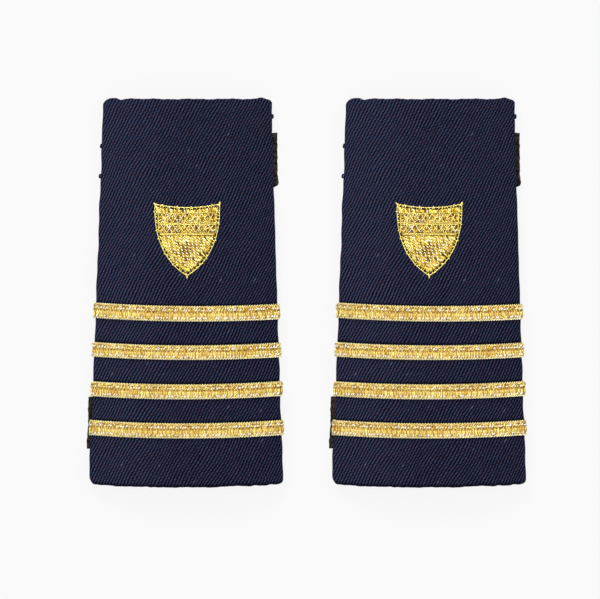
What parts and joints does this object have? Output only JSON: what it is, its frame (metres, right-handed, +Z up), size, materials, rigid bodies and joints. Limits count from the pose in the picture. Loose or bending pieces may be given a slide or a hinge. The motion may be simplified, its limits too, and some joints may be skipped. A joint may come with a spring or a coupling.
{
  "type": "pair of slip-on shoulder marks",
  "caption": "Pair of soft slip-on shoulder marks: tapered navy twill sleeves with gold metallic braids, an embroidered shield and elastic keepers across the back.",
  "frame": {"origin": "on the surface that the pair lies on, under the middle of the pair", "axes": "+X from the left mark to the right one, +Y towards the narrow collar ends, +Z up out of the front"},
  "size_m": [0.1222, 0.109, 0.0102],
  "materials": {
    "navy_serge": "matte diagonal twill",
    "buckram": "matte open weave",
    "lining_cloth": "matte plain weave",
    "gold_braid": "shiny metallic thread",
    "gold_stitching": "shiny metallic thread",
    "padding_felt": "matte felt",
    "black_elastic": "matte ribbed elastic"
  },
  "bodies": {
    "left_mark": {"left_outer_shell": "navy_serge", "left_stiffener": "buckram", "left_lining": "lining_cloth", "left_braid_1": "gold_braid", "left_braid_2": "gold_braid", "left_braid_3": "gold_braid", "left_braid_4": "gold_braid", "left_shield_padding": "padding_felt", "left_shield_outline": "gold_stitching", "left_shield_chief": "gold_stitching", "left_shield_field": "gold_stitching", "left_shield_divider": "gold_stitching", "left_upper_keeper": "black_elastic", "left_lower_keeper": "black_elastic"},
    "right_mark": {"right_outer_shell": "navy_serge", "right_stiffener": "buckram", "right_lining": "lining_cloth", "right_braid_1": "gold_braid", "right_braid_2": "gold_braid", "right_braid_3": "gold_braid", "right_braid_4": "gold_braid", "right_shield_padding": "padding_felt", "right_shield_outline": "gold_stitching", "right_shield_chief": "gold_stitching", "right_shield_field": "gold_stitching", "right_shield_divider": "gold_stitching", "right_upper_keeper": "black_elastic", "right_lower_keeper": "black_elastic"}
  },
  "joints": [
    {"name": "right_mark_slide", "type": "slide", "parent": "left_mark", "child": "right_mark", "axis": [1, 0, 0], "range_m": [-0.01, 0.1]}
  ]
}
